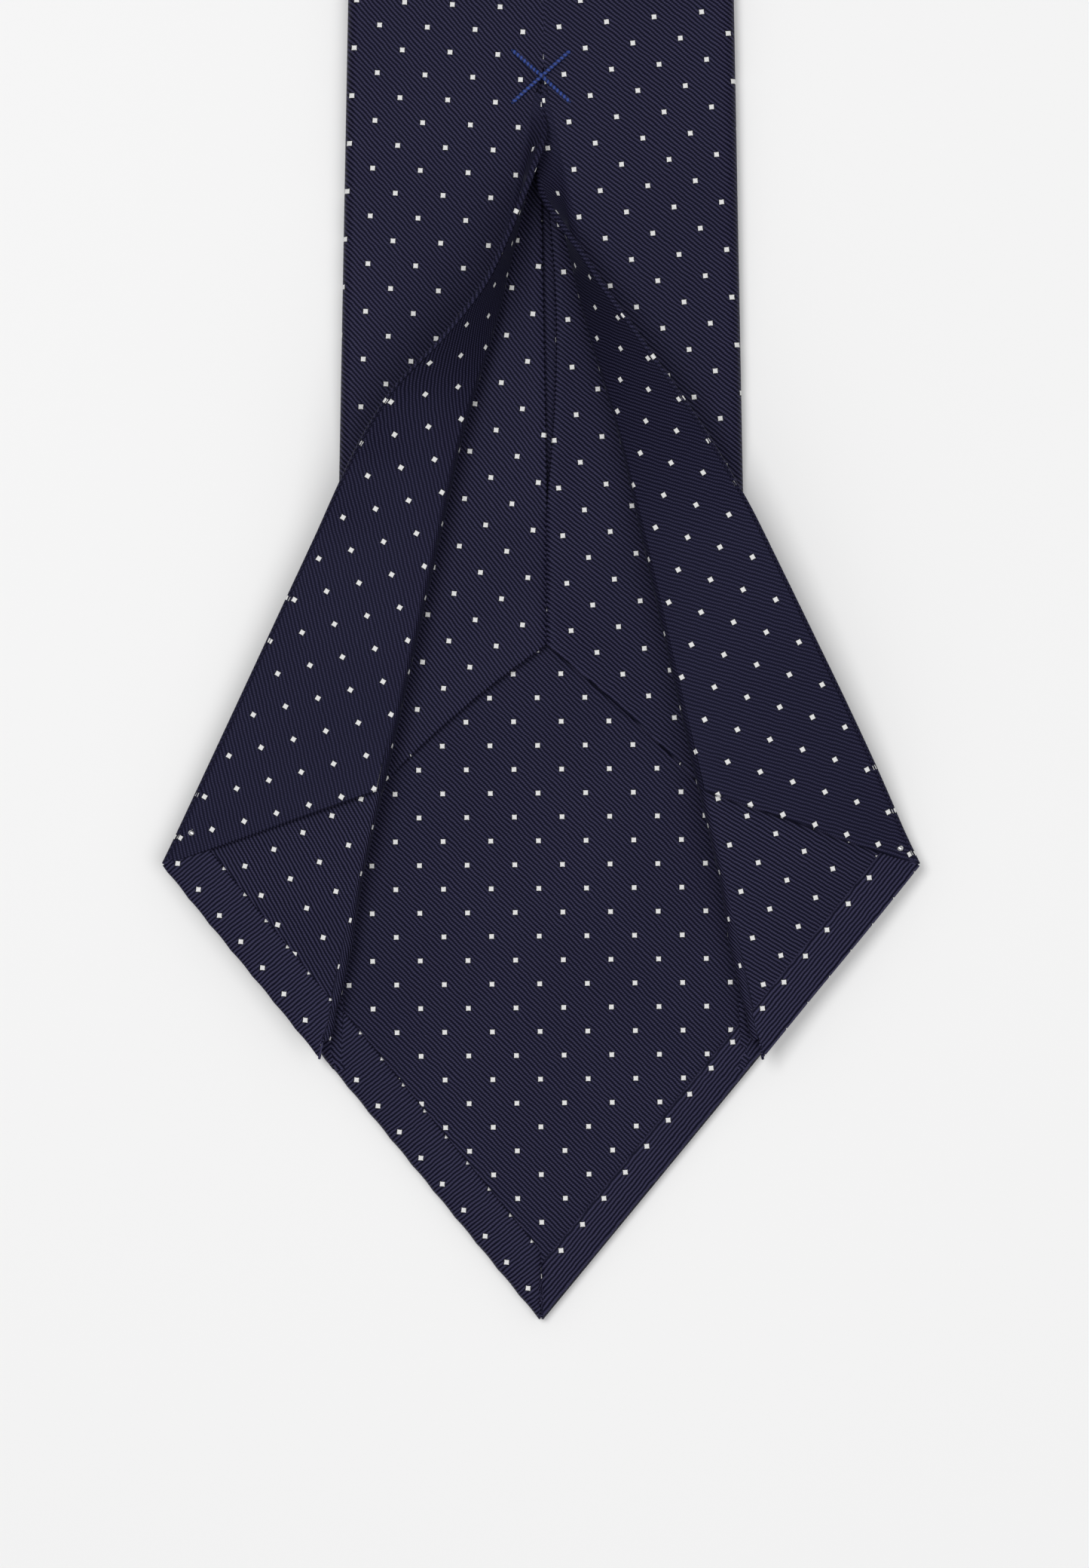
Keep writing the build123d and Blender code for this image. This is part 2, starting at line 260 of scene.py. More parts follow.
def dotted_silk(name, navy_valley_shade, navy_rib_highlight, stitch_share, rib_pitch=RIB_PITCH, dotted=True, rough=0.5):
    """Twill silk: ribs along the pattern's second direction, each a row of slanting stitches,
    with small four-lobed dots at whole numbers of DOT_PITCH. The colour runs from the valley
    colour in the grooves to the rib colour on the raised threads: partly the silk's own navy,
    partly painted shade in the grooves and painted highlight on the ribs and stitches."""
    g = Graph(name)
    place, across, along = g.flat()
    drift = g.noise(place, 0.35, 2.0)
    across_ribs = g.maths("MULTIPLY_ADD", drift, 0.5, across)
    rib_wave = g.maths("SINE", g.maths("MULTIPLY", across_ribs, 2 * pi / rib_pitch))
    slant = g.maths("MULTIPLY_ADD", across_ribs, 0.55, along)
    stitch_wave = g.maths("SINE", g.maths("MULTIPLY", slant, 2 * pi / STITCH_PITCH))
    ribs = g.spread(rib_wave, -0.75, 0.9)
    stitches = g.spread(stitch_wave, -0.9, 0.7, 1.0 - stitch_share, 1.0)
    fibre = g.noise(place, 6.0, 3.0)
    cloth = g.maths("MULTIPLY", g.maths("MULTIPLY", ribs, stitches), g.spread(fibre, 0.2, 0.75, 0.72, 1.12))
    # Painted light: darker in the weave's grooves as painted shade, lighter on the raised ribs and stitches
    # as painted highlight, over the silk's own navy.
    shade = g.mix(cloth, navy_valley_shade, navy_rib_highlight)
    patches = g.noise(place, 0.03, 3.0)
    shade = g.mix(g.spread(patches, 0.3, 0.75, 0.0, 0.12), shade, navy_valley_shade)
    height = g.maths("MULTIPLY", cloth, 0.5)
    if dotted:
        offsets = []
        for value in (across, along):
            cell = g.maths("ROUND", g.maths("DIVIDE", value, DOT_PITCH))
            offset = g.maths("MULTIPLY_ADD", cell, -DOT_PITCH, value)
            offsets.append(g.maths("ABSOLUTE", offset))
        product = g.maths("MULTIPLY", offsets[0], offsets[1])
        squares = [g.maths("MULTIPLY", offset, offset) for offset in offsets]
        star = g.maths("ADD", g.maths("ADD", *squares), g.maths("MULTIPLY", product, 2.4))
        star = g.maths("SQRT", star)
        edge = g.maths("MULTIPLY_ADD", fibre, 0.22, star)
        dot = g.spread(edge, DOT_RADIUS - 0.02, DOT_RADIUS + 0.14, 1.0, 0.0)
        rim = g.spread(edge, DOT_RADIUS + 0.1, DOT_RADIUS + 0.5, 1.0, 0.0)
        shade = g.mix(g.maths("MULTIPLY", rim, 0.75), shade, (0.003, 0.003, 0.008, 1))
        # The dots' white runs lighter and darker across its threads: painted shade between the threads over
        # the dots' own off-white.
        threads = g.maths("SINE", g.maths("MULTIPLY", across, 2 * pi / 0.24))
        white = g.mix(g.spread(threads, -1.0, 1.0), (0.62, 0.62, 0.62, 1), (0.86, 0.86, 0.84, 1))
        shade = g.mix(dot, shade, white)
        height = g.maths("MULTIPLY_ADD", dot, 1.3, height)
    g.put(shade, g.shader.inputs["Base Color"])
    g.put(g.spread(fibre, 0.2, 0.8, rough - 0.06, rough + 0.1), g.shader.inputs["Roughness"])
    g.shader.inputs["Specular IOR Level"].default_value = 0.09
    g.shader.inputs["Specular Tint"].default_value = (0.55, 0.58, 1.0, 1)
    g.shader.inputs["Sheen Weight"].default_value = 0.03
    g.shader.inputs["Sheen Roughness"].default_value = 0.4
    g.shader.inputs["Sheen Tint"].default_value = (0.5, 0.55, 0.8, 1)
    g.bump(height, 0.07)
    return g.material


def twisted_thread(name, dark, light):
    """Thread of two plies; flat places are round it and along it. Its colour runs from dark in
    the grooves between the plies to light on their crowns: the thread's own colour with painted
    shade and painted highlight.
    """
    g = Graph(name)
    place, around, along = g.flat()
    twist = g.maths("SINE", g.maths("MULTIPLY_ADD", along, 2 * pi / 0.9, around))
    fibre = g.noise(place, 5.0, 3.0)
    ply = g.maths("MULTIPLY", g.spread(twist, -0.9, 0.6), g.spread(fibre, 0.2, 0.8, 0.7, 1.0))
    # Painted shade in the grooves between the plies and painted highlight on their crowns, over the
    # thread's own colour.
    g.put(g.mix(ply, dark, light), g.shader.inputs["Base Color"])
    g.put(g.spread(fibre, 0.2, 0.8, 0.45, 0.65), g.shader.inputs["Roughness"])
    g.bump(ply, 0.1)
    return g.material


def wool(name):
    g = Graph(name)
    place, across, along = g.flat()
    warp = g.maths("SINE", g.maths("MULTIPLY", across, 2 * pi / 1.1))
    weft = g.maths("SINE", g.maths("MULTIPLY", along, 2 * pi / 1.1))
    weave = g.spread(g.maths("MULTIPLY", warp, weft), -0.6, 0.8)
    hair = g.noise(place, 1.8, 5.0)
    height = g.maths("MULTIPLY", weave, g.spread(hair, 0.25, 0.75, 0.4, 1.0))
    # The colour follows the weave's height: darker in its hollows as painted shade over the wool's own
    # colour, with random tone from the hair noise.
    g.put(g.mix(height, (0.45, 0.43, 0.38, 1), (0.74, 0.72, 0.66, 1)), g.shader.inputs["Base Color"])
    g.put(g.spread(hair, 0.2, 0.8, 0.8, 0.95), g.shader.inputs["Roughness"])
    g.bump(height, 0.25)
    return g.material


def pin_steel(name):
    g = Graph(name)
    smear = g.noise(g.object_place(), 900.0, 3.0)
    g.put(g.mix(smear, (0.62, 0.62, 0.64, 1), (0.8, 0.8, 0.8, 1)), g.shader.inputs["Base Color"])
    g.put(g.spread(smear, 0.2, 0.8, 0.14, 0.26), g.shader.inputs["Roughness"])
    g.shader.inputs["Metallic"].default_value = 1.0
    g.bump(smear, 0.01)
    return g.material


# The silk's navy in the weave's grooves, darkened as painted shade; the rib colours below are lightened as
# painted highlight.
NAVY_VALLEY_SHADE = (0.0015, 0.0014, 0.006, 1)
SILKS = {
    "silk": dotted_silk("dotted_silk", NAVY_VALLEY_SHADE, (0.047, 0.044, 0.09, 1), 0.45),
    # The wings get a darker copy of the same silk with flatter ribs: painted shade for how the light falls
    # across their ribs.
    "wing": dotted_silk("shaded_wing_silk", (0.004, 0.0038, 0.011, 1), (0.033, 0.031, 0.067, 1), 0.6),
    "tipping": dotted_silk("silk_tipping", NAVY_VALLEY_SHADE, (0.047, 0.044, 0.09, 1), 0.5),
    "hem": dotted_silk("silk_hem", NAVY_VALLEY_SHADE, (0.047, 0.044, 0.09, 1), 0.3),
    "loop": dotted_silk("silk_loop", NAVY_VALLEY_SHADE, (0.047, 0.044, 0.09, 1), 0.45, dotted=False),
}
WOOL = wool("wool_interlining")
BLUE_THREAD = twisted_thread("blue_thread", (0.004, 0.01, 0.06, 1), (0.02, 0.06, 0.32, 1))
NAVY_THREAD = twisted_thread("navy_thread", (0.003, 0.003, 0.01, 1), (0.02, 0.02, 0.06, 1))
PIN_STEEL = pin_steel("pin_steel")

# ---- The leaf: the doubled silk that turns about the roll line -------------------------------

def turn_at(side, u):
    """How far the leaf has turned at u along the roll line, in radians, smoothed."""
    stops, turns = zip(*TURNS[side])
    spread = np.linspace(-5.0, 5.0, 21)
    weights = np.exp(-(spread / 2.5) ** 2)
    samples = np.interp(np.asarray(u)[..., None] + spread, stops, turns)
    return np.radians((samples * weights).sum(-1) / weights.sum())


def leaf_place(side, u, out, radius, turn):
    """A place on the leaf: u along the roll line, out from it, turned from closed."""
    u, out, radius, turn = np.broadcast_arrays(u, out, radius, turn)
    pressed = 1 - 0.7 * ease((u - 45.0) / 35.0) * (1 - ease((u - 165.0) / 20.0))
    across = out * np.cos(turn) + radius * np.sin(turn) * pressed
    height = out * np.sin(turn) - radius * np.cos(turn)
    places = ROLL_TOP + u[..., None] * LEFT_DOWN + across[..., None] * ROLL_IN
    places = places + height[..., None] * np.array([0.0, 0.0, 1.0])
    return mirrored(side, places)


def leaf_plan(side, u, out):
    """Where the leaf's cloth would lie if it went on flat past the roll line."""
    places = ROLL_TOP + np.asarray(u)[..., None] * LEFT_DOWN + np.asarray(out)[..., None] * ROLL_IN
    places = mirrored(side, places)
    return places[..., 0], places[..., 1] - POINT_Y


def puff(u, share):
    """How the open wing lies off its plane: a little full, proud beside the roll line, and low
    where its hem meets the blade's."""
    opened = ease((u - 40.0) / 60.0)
    full = 0.9 * np.sin(pi * np.clip(share, 0, 1)) * opened
    wave = 0.3 * (1 + np.sin(u / 17.0 + 2.0 * share)) * np.sin(pi * share / 2) * opened
    roll = 1.1 * np.exp(-(share * EDGE_RATE * u / 9.0) ** 2) * ease((u - 50.0) / 50.0)
    foot = 3.4 * ease((u - 150.0) / 50.0) * (1 - share) ** 0.6
    return full + wave + roll - foot


def wing_end(share):
    """Where the wing's hem edge lies along the roll line, by share of the way out."""
    return WING_FOOT / (1 + (WING_FOOT - WING_CORNER[0]) / WING_CORNER[0] * share)


def middle_end(share):
    return MIDDLE_FOOT / (1 - (1 - MIDDLE_FOOT / WING_CORNER[0]) * share)


# The middle layer's lower edge, turned under: each step along the roll line, and drop below it
TURNED_UNDER = [(0.2, 0.28), (-0.4, 0.55), (-5.0, 0.6)]


def leaf_grid(side, layer, shares, end_of):
    """A layer of the leaf from its start to its lower edge, as places and flat places."""
    radius = {"outer": OUTER_RADIUS, "tipping": TIPPING_RADIUS, "middle": MIDDLE_RADIUS}[layer]
    rows = np.linspace(0.0, 1.0, 111)[:, None]
    share = np.asarray(shares)[None, :]
    u = LEAF_START + rows * (end_of(share) - LEAF_START)
    out = share * EDGE_RATE * u
    turn = turn_at(side, u)
    if layer == "middle":
        radius = radius + 1.2 * ease(1 - (end_of(share) - u) / 14.0) * (1 - share ** 6)
    places = leaf_place(side, u, out, radius + puff(u, share), turn)
    if layer == "outer":
        plan = leaf_plan(side, u, out + OUTER_RADIUS * turn)
        flats = woven(side + "_outer", *plan)
    else:
        name = side + ("_wing" if layer == "middle" else "_wing_tipping")
        flats = woven(name, *leaf_plan(side, u, -out))
    if layer == "middle":
        tuck = 1 - share ** 6
        edge_radius = (radius + puff(u, share))[-1:]
        last = [leaf_place(side, u[-1:] + step * tuck, out[-1:], edge_radius - drop * tuck, turn[-1:])
                for step, drop in TURNED_UNDER]
        places = np.concatenate([places, *last], axis=0)
        flats = np.concatenate([flats] + [flats[-1:]] * 3, axis=0)
    return places, flats


def leaf_edge(side):
    """The rounded crease that joins the leaf's two layers."""
    rows = np.linspace(0.0, 1.0, 111)[:, None]
    u = LEAF_START + rows * (WING_CORNER[0] - LEAF_START)
    angle = np.linspace(0.0, pi, 9)[None, :]
    middle = (OUTER_RADIUS + MIDDLE_RADIUS) / 2
    half = (MIDDLE_RADIUS - OUTER_RADIUS) / 2
    out = EDGE_RATE * u + half * np.sin(angle) * 0.9
    radius = middle - half * np.cos(angle) + puff(u, 1.0)
    turn = turn_at(side, u)
    places = leaf_place(side, u, out, radius, turn)
    plan = leaf_plan(side, u + 0 * out, half * angle - EDGE_RATE * u)
    return places, woven(side + "_wing", *plan)


SHARES = 1 - (1 - np.linspace(0.0, 1.0, 31)) ** 1.3


def make_leaf(side):
    outer = leaf_grid(side, "outer", SHARES, wing_end)
    middle = leaf_grid(side, "middle", SHARES, middle_end)
    piece = make_sheet(side + "_leaf", [outer, leaf_edge(side), middle], SILK, SILKS["wing"])
    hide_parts(side + "_outer_wing", side + "_middle_wing")
    return piece


def roll_grid(side, radius, first, last, pattern, rows=91):
    """The cloth that bends round the roll line, at one radius from it."""
    u = np.linspace(first, last, rows)[:, None]
    share = np.linspace(0.0, 1.0, 17)[None, :]
    turn = turn_at(side, u)
    angle = share * turn
    pucker = 0.22 * np.sin(u * 0.9) * np.sin(u * 0.23 + 1.0) * np.sin(pi * share) * ease((u - 60) / 40)
    places = leaf_place(side, u, 0.0, radius + pucker + puff(u, 0.0) * ease(share), angle)
    plan = leaf_plan(side, u, radius * (turn - angle))
    if pattern.endswith("outer"):
        plan = leaf_plan(side, u, radius * angle)
    return places, woven(pattern, *plan)


# ---- The blade ---------------------------------------------------------------------------------

def roll_x(station):
    """The roll line's distance from the centre line at a station."""
    return np.clip((ROLL_TOP_STATION - station) * -LEFT_DOWN[0] / -LEFT_DOWN[1], 0.0, None)


def blade_y(station):
    return station + POINT_Y


def swell(x, station):
    """The gentle unevenness of pressed silk."""
    return 0.22 * np.sin(station / 31.0 + x / 19.0) + 0.12 * np.sin(station / 12.0 - x / 9.0 + 1.3)


EDGE_ROUND = 2.3  # of the blade's sides
LOW_Z = SILK / 2 + 0.05


def front_grid(first, last, rows):
    station = np.linspace(first, last, rows)[:, None]
    side = np.linspace(-1.0, 1.0, 61)[None, :]
    reach = np.maximum(half_width(station) - np.minimum(EDGE_ROUND, half_width(station) * 0.4), 0.15)
    x = side * reach
    return stack(x, blade_y(station) + 0 * x, LOW_Z + 0 * x), woven("front", x, station + 0 * x)


def side_grid(side, first, last, rows, top, inner_of, pattern):
    """A side edge's round, and the layer on top from it inwards to inner_of(station)."""
    sign = -1 if side == "left" else 1
    station = np.linspace(first, last, rows)[:, None]
    width = half_width(station)
    round_x = np.minimum(EDGE_ROUND, width * 0.4)
    angle = np.linspace(0.0, pi, 13)[None, :]
    top = top - 1.9 * (1 - ease((station - BLADE_CORNER) / 20.0))
    middle, half = (LOW_Z + top) / 2, (top - LOW_Z) / 2
    reach = 1.6 * (1 - ease((station - BLADE_CORNER - 6.0) / 12.0)) * ease((station - BLADE_CORNER) / 2.0)
    edge_x = width - round_x + (round_x + reach) * np.sin(angle)
    edge_z = middle - half * np.cos(angle) + 0 * station
    share = np.linspace(0.0, 1.0, 33)[None, 1:]
    inner = np.minimum(inner_of(station), width - round_x - 0.1)
    flat_x = (width - round_x) + share * (inner - (width - round_x))
    flat_z = top + swell(flat_x, station) * np.sin(pi * share)
    x = np.concatenate([edge_x, flat_x], axis=1)
    z = np.concatenate([edge_z, flat_z], axis=1)
    y = blade_y(station) + 0 * x
    flats = woven(pattern, sign * x, station + 0 * x)
    return stack(sign * x, y, z), flats


def outer_inner(side):
    """Where the top layer of the blade ends: at the roll line, or past it at the centre."""
    def inner_of(station):
        lap = 0.7 if side == "left" else -0.35
        return np.where(station < ROLL_TOP_STATION, np.maximum(roll_x(station), 0.02), 0.02) \
            - lap * ease((station - 243.0) / 8.0)
    return inner_of


ROLL_SIDE_STATION = 63.0  # where the roll line runs off the blade's side


def make_blade_shell():
    grids = [front_grid(0.6, ROLL_SIDE_STATION, 46), front_grid(ROLL_SIDE_STATION, FIRST_CREASE, 240)]
    for side in ("left", "right"):
        grids.append(side_grid(side, BLADE_CORNER - 1, FIRST_CREASE, 320, OUTER_FOLD_Z,
                               outer_inner(side), side + "_outer"))
    piece = make_sheet("blade_silk", grids, SILK, SILKS["silk"])
    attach(piece, "blade")
    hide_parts("face_panel", "left_outer_fold", "right_outer_fold")
    return piece


def hem_flats(side, along, across):
    """The pattern on a turned-in hem: ribs across it on the left, along it on the right."""
    if side == "left":
        return np.stack([along, across - 2.2], axis=-1)
    return np.stack([across + 0.85, along], axis=-1)


def make_blade_hem(side):
    """The blade's turned-in edge, from the round at its side to its inner line, mitred."""
    sign = -1 if side == "left" else 1
    corner = np.array([half_width(BLADE_CORNER), BLADE_CORNER])
    length = hypot(*corner)
    direction = corner / length
    inward = np.array([-direction[1], direction[0]])
    width = HEM_WIDTHS[side]
    along = np.linspace(0.4, length + 8.0, 121)[:, None]
    profile = [(0.9 - 0.9 * sin(a), LOW_Z + 1.25 - 1.25 * cos(a)) for a in np.linspace(0, pi, 11)]
    profile += [(0.9 + (width - 0.9) * k / 12, 2.75 + 0.35 * sin(pi * k / 14)) for k in range(1, 13)]
    profile += [(width + 0.12, 2.6), (width - 0.1, 2.42)]
    across = np.array([p[0] for p in profile])[None, :]
    height = np.array([p[1] for p in profile])[None, :]
    ripple = 0.16 * np.abs(np.sin(along * pi / DOT_PITCH)) * (1 - across / width) if side == "left" else 0.0
    depth = across + ripple
    x = direction[0] * along + inward[0] * depth
    station = direction[1] * along + inward[1] * depth
    x = np.maximum(x, 0.22)
    x = np.where(station > BLADE_CORNER - 6, np.minimum(x, roll_x(station) - 0.2), x)
    height = height + 0.1 * np.sin(along / 9.0) * (across / width)
    height = height - 0.7 * np.exp(-x / 0.6) * (across > 2.0)
    places = stack(sign * x, blade_y(station), height + 0 * x)
    piece = make_sheet(side + "_hem", [(places, hem_flats(side, along + 0 * across, across + 0 * along))],
                       SILK, SILKS["hem"])
    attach(piece, "blade")
    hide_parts(side + "_blade_hem")
    return piece


def make_central_tipping():
    station = np.concatenate([np.linspace(1.0, BLADE_CORNER, 40), np.linspace(BLADE_CORNER + 1, 330, 150)])
    station = station[:, None]
    share = np.linspace(-1.0, 1.0, 61)[None, :]
    reach = np.maximum(half_width(station) - 2.4, 0.3)
    x = share * reach
    z = TIPPING_Z - 0.2 + 0.18 * np.sin(station / 23.0 + x / 13.0) * (1 - share ** 2) \
        + 0.1 * np.sin(station / 9.0 - x / 7.0)
    places = stack(x, blade_y(station) + 0 * x, z)
    piece = make_sheet("blade_tipping", [(places, woven("tipping", x, station + 0 * x))], SILK * 0.8,
                       SILKS["tipping"])
    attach(piece, "blade")
    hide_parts("centre_tipping")
    return piece


def make_inner_fold(side):
    """An inner fold: doubled at its centre edge and along its slanting lower edge."""
    sign = -1 if side == "left" else 1
    rows = np.linspace(0.0, 1.0, 161)[:, None]
    share = np.linspace(0.0, 1.0, 41)[None, :]
    top = FIRST_CREASE - 0.5
    low_left = INNER_APEX[1] + (INNER_CORNER[1] - INNER_APEX[1]) * share
    low_left = low_left + 1.6 * np.sin(pi * share) * (1 if side == "left" else 0.6)
    station = low_left + (top - low_left) * rows ** 1.6
    middle = INNER_APEX[0] * ease((243.0 - station) / 90.0)
    slit = SLIT[2] * np.sin(pi * np.clip((station - SLIT[0]) / (SLIT[1] - SLIT[0]), 0, 1)) ** 1.2
    if side == "left":
        centre = -middle + 0.2
    else:
        centre = middle + 0.2 + slit
    crease = half_width(station) * 0.8
    x = centre + (crease - centre) * share
    slit_lift = 1.2 * np.exp(-(x - centre) / 5.0) * ease((station - 140.0) / 30.0)
    hem_lift = 1.4 * ease(1 - (station - low_left) / 14.0) * (1 - share) + slit_lift
    z = INNER_FOLD_Z + 0.15 * np.sin(station / 21.0 + x / 11.0) + hem_lift
    z = z - 0.5 * np.exp(-(x - centre) / 0.7)
    turned_under = stack(sign * (x[:, :1] + 0.35), blade_y(station[:, :1]), z[:, :1] - 0.55)
    places = stack(sign * x, blade_y(station), z)
    flats = woven(side + "_inner", sign * x, station)
    places = np.concatenate([turned_under, stack(sign * (x[:, :1] - 0.16), blade_y(station[:, :1]),
                                                 z[:, :1] - 0.28), places], axis=1)
    flats = np.concatenate([flats[:, :1], flats[:, :1], flats], axis=1)
    under = places[:1] + np.array([0.0, 0.5, -0.55])
    edge = places[:1] + np.array([0.0, -0.18, -0.28])
    places = np.concatenate([under, edge, places], axis=0)
    flats = np.concatenate([flats[:1], flats[:1], flats], axis=0)
    piece = make_sheet(side + "_inner_silk", [(places, flats)], SILK, SILKS["silk"])
    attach(piece, "blade")
    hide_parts(side + "_inner_fold")
    return piece


def make_middle_fold(side):
    """The part of the middle fold that stays closed, under the outer fold."""
    sign = -1 if side == "left" else 1
    station = np.linspace(INNER_CORNER[1] + 2, FIRST_CREASE - 0.5, 200)[:, None]
    share = np.linspace(0.0, 1.0, 25)[None, :]
    inner = np.maximum(roll_x(station), 0.3)
    crease = np.maximum(half_width(station) * 0.8, inner + 0.5)
    x = inner + (crease - inner) * share
    z = MIDDLE_FOLD_Z + 0.1 * np.sin(station / 18.0 + x / 8.0)
    places = stack(sign * x, blade_y(station), z)
    piece = make_sheet(side + "_middle_silk", [(places, woven(side + "_inner", sign * x, station))], SILK,
                       SILKS["silk"])
    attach(piece, "blade")
    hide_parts(side + "_middle_fold")
    return piece


# ---- The wings ---------------------------------------------------------------------------------

def make_wing_tipping(side):
    """The lining of an open wing, from the roll line to its hem."""
    rows = np.linspace(0.0, 1.0, 61)[:, None]
    share = SHARES[None, :]
    start = 128.0 + 30.0 * share
    u = start + rows * (wing_end(share) - 2.5 - start)
    out = share * (EDGE_RATE * u - 1.0)
    turn = turn_at(side, u)
    wave = 0.12 * np.sin(u / 7.0 + out / 5.0)
    places = leaf_place(side, u, out, TIPPING_RADIUS + wave + puff(u, share) * 0.9, turn)
    flats = woven(side + "_wing_tipping", *leaf_plan(side, u, -out))
    piece = make_sheet(side + "_wing_lining", [(places, flats)], SILK * 0.7, SILKS["tipping"])
    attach(piece, side + "_wing")
    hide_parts(side + "_wing_tipping")
    return piece


def make_wing_hem(side):
    """The turned-in hem of an open wing: round its edge and up over the lining."""
    foot, corner = np.array([WING_FOOT, 0.0]), np.array(WING_CORNER)
    length = np.linalg.norm(corner - foot)
    direction = (corner - foot) / length
    inward = np.array([-direction[1], direction[0]])
    width = HEM_WIDTHS[side]
    along = np.linspace(-1.5, length, 61)[:, None]
    profile = [(0.5 - 0.9 * sin(a), OUTER_RADIUS - 0.1 + 0.5 * (1 - cos(a))) for a in np.linspace(0, pi, 9)]
    profile += [(0.5 + (width - 0.5) * k / 10, OUTER_RADIUS + 0.9 + 0.12 * sin(pi * k / 10))
                for k in range(1, 11)]
    profile += [(width + 0.12, OUTER_RADIUS + 0.72), (width - 0.1, OUTER_RADIUS + 0.55)]
    across = np.array([p[0] for p in profile])[None, :]
    radius = np.array([p[1] for p in profile])[None, :]
    ripple = 0.16 * np.abs(np.sin(along * pi / DOT_PITCH)) * (1 - across / width) if side == "left" else 0.0
    inset = np.where(across > 0.5, np.clip((length - along) / 0.8, 0.0, 1.0), 1.0)
    depth = across * inset + ripple
    u = foot[0] + direction[0] * along + inward[0] * depth
    out = np.maximum(foot[1] + direction[1] * along + inward[1] * depth, -0.3)
    share = np.clip(out / (EDGE_RATE * u), 0.0, 1.0)
    out = np.minimum(out, EDGE_RATE * u + 0.2)
    places = leaf_place(side, u, out, radius + puff(u, share), turn_at(side, u))
    flats = hem_flats(side, along + 0 * across, across + 0 * along)
    piece = make_sheet(side + "_wing_edge", [(places, flats)], SILK, SILKS["hem"])
    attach(piece, side + "_wing")
    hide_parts(side + "_wing_hem")
    return piece


def make_pin(side):
    """A straight pin: a round head on the wing, its shaft between the two layers."""
    u, out = PINS[side]
    turn = float(turn_at(side, u))
    share = out / (EDGE_RATE * u)
    lift = float(puff(np.array(u), share))
    centre = leaf_place(side, u, out, MIDDLE_RADIUS + lift + 0.45, turn)
    ahead = leaf_place(side, u - 14.0, out - 0.2, MIDDLE_RADIUS + lift - 0.4, turn)
    above = leaf_place(side, u, out, MIDDLE_RADIUS + lift + 1.45, turn) - centre
    shaft = ahead - centre
    level = np.cross(shaft, above)
    axes = [vector / np.linalg.norm(vector) for vector in (level, above, shaft)]
    angle = np.linspace(0.0, 2 * pi, 25)[None, :, None]
    tilt = np.linspace(0.0, pi, 15)
    rings = [(PIN_HEAD * sin(t), -PIN_HEAD * cos(t) * 0.92) for t in tilt[:-1]]
    rings += [(PIN_SHAFT, PIN_HEAD * 0.9), (PIN_SHAFT, 1.2), (PIN_SHAFT, 12.5), (0.01, 14.0)]
    places = []
    for radius, along in rings:
        sunk = PIN_SINK * np.clip((along - 0.4) / 1.2, 0.0, 1.0)
        places.append(centre + axes[2] * along - axes[1] * sunk
                      + radius * (np.cos(angle) * axes[0] + np.sin(angle) * axes[1])[0])
    places = np.array(places)
    flats = np.zeros(places.shape[:2] + (2,))
    piece = make_sheet(side + "_pin", [(places, flats)], 0, PIN_STEEL, weld=0.002)
    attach(piece, side + "_wing")
    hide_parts(side + "_corner_pin")


def make_rolls(side):
    silk = [roll_grid(side, OUTER_RADIUS, LEAF_START, WING_FOOT - 5, side + "_outer"),
            roll_grid(side, MIDDLE_RADIUS, LEAF_START, MIDDLE_FOOT, side + "_wing")]
    roll = make_sheet(side + "_roll", silk, SILK, SILKS["wing"])
    lining = make_sheet(side + "_lining_roll",
                        [roll_grid(side, TIPPING_RADIUS, 128.0, WING_FOOT - 3, side + "_wing_tipping", 50)],
                        SILK * 0.7, SILKS["tipping"])
    return roll, lining


# ---- Thread -------------------------------------------------------------------------------------

def make_thread(name, path, radius, material, sides=12):
    """A round thread along a path, with its two ends tapered into the cloth."""
    path = np.asarray(path, float)
    tangent = np.gradient(path, axis=0)
    tangent /= np.linalg.norm(tangent, axis=1)[:, None]
    level = np.cross(tangent, np.array([0.0, 0.0, 1.0]))
    level /= np.linalg.norm(level, axis=1)[:, None]
    upright = np.cross(level, tangent)
    steps = np.concatenate([[0.0], np.cumsum(np.linalg.norm(np.diff(path, axis=0), axis=1))])
    angle = np.linspace(0.0, 2 * pi, sides + 1)[None, :, None]
    ends = np.clip(np.minimum(steps, steps[-1] - steps) / 0.5, 0.05, 1.0) ** 0.5
    twist = 1.0 + 0.07 * np.cos(2 * angle[..., 0] + 2 * steps[:, None] * 2 * pi / 1.8)
    reach = (radius * ends[:, None] * twist)[..., None]
    rim = np.cos(angle) * level[:, None, :] + np.sin(angle) * upright[:, None, :]
    places = path[:, None, :] + reach * rim
    flats = stack(angle[..., 0] + 0 * steps[:, None], steps[:, None] + 0 * angle[..., 0], 0)[..., :2]
    return make_sheet(name, [(places, flats)], 0, material, weld=0.004)


TACK_STATION = 248.7
TACK_REACH = (5.9, 5.3)  # of each of its two threads, across the tie and along it
TACK_RADIUS = 0.38
TACK_Z = OUTER_FOLD_Z + 0.7


def make_blade_tack():
    """Two crossing threads, whose ends go down into the silk. One arches over the other."""
    reach_x, reach_station = TACK_REACH
    t = np.linspace(-1.0, 1.0, 61)
    under = stack(reach_x * t, blade_y(TACK_STATION + reach_station * t), TACK_Z - 0.5 * t ** 4)
    over = stack(reach_x * t, blade_y(TACK_STATION - reach_station * t + 0.2),
                 TACK_Z + 0.75 * np.exp(-(t / 0.2) ** 2) - 0.5 * t ** 4)
    for name, path in (("under", under), ("over", over)):
        piece = make_thread("blade_tack_" + name, path, TACK_RADIUS, BLUE_THREAD)
        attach(piece, "blade")
        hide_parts("blade_bar_tack")


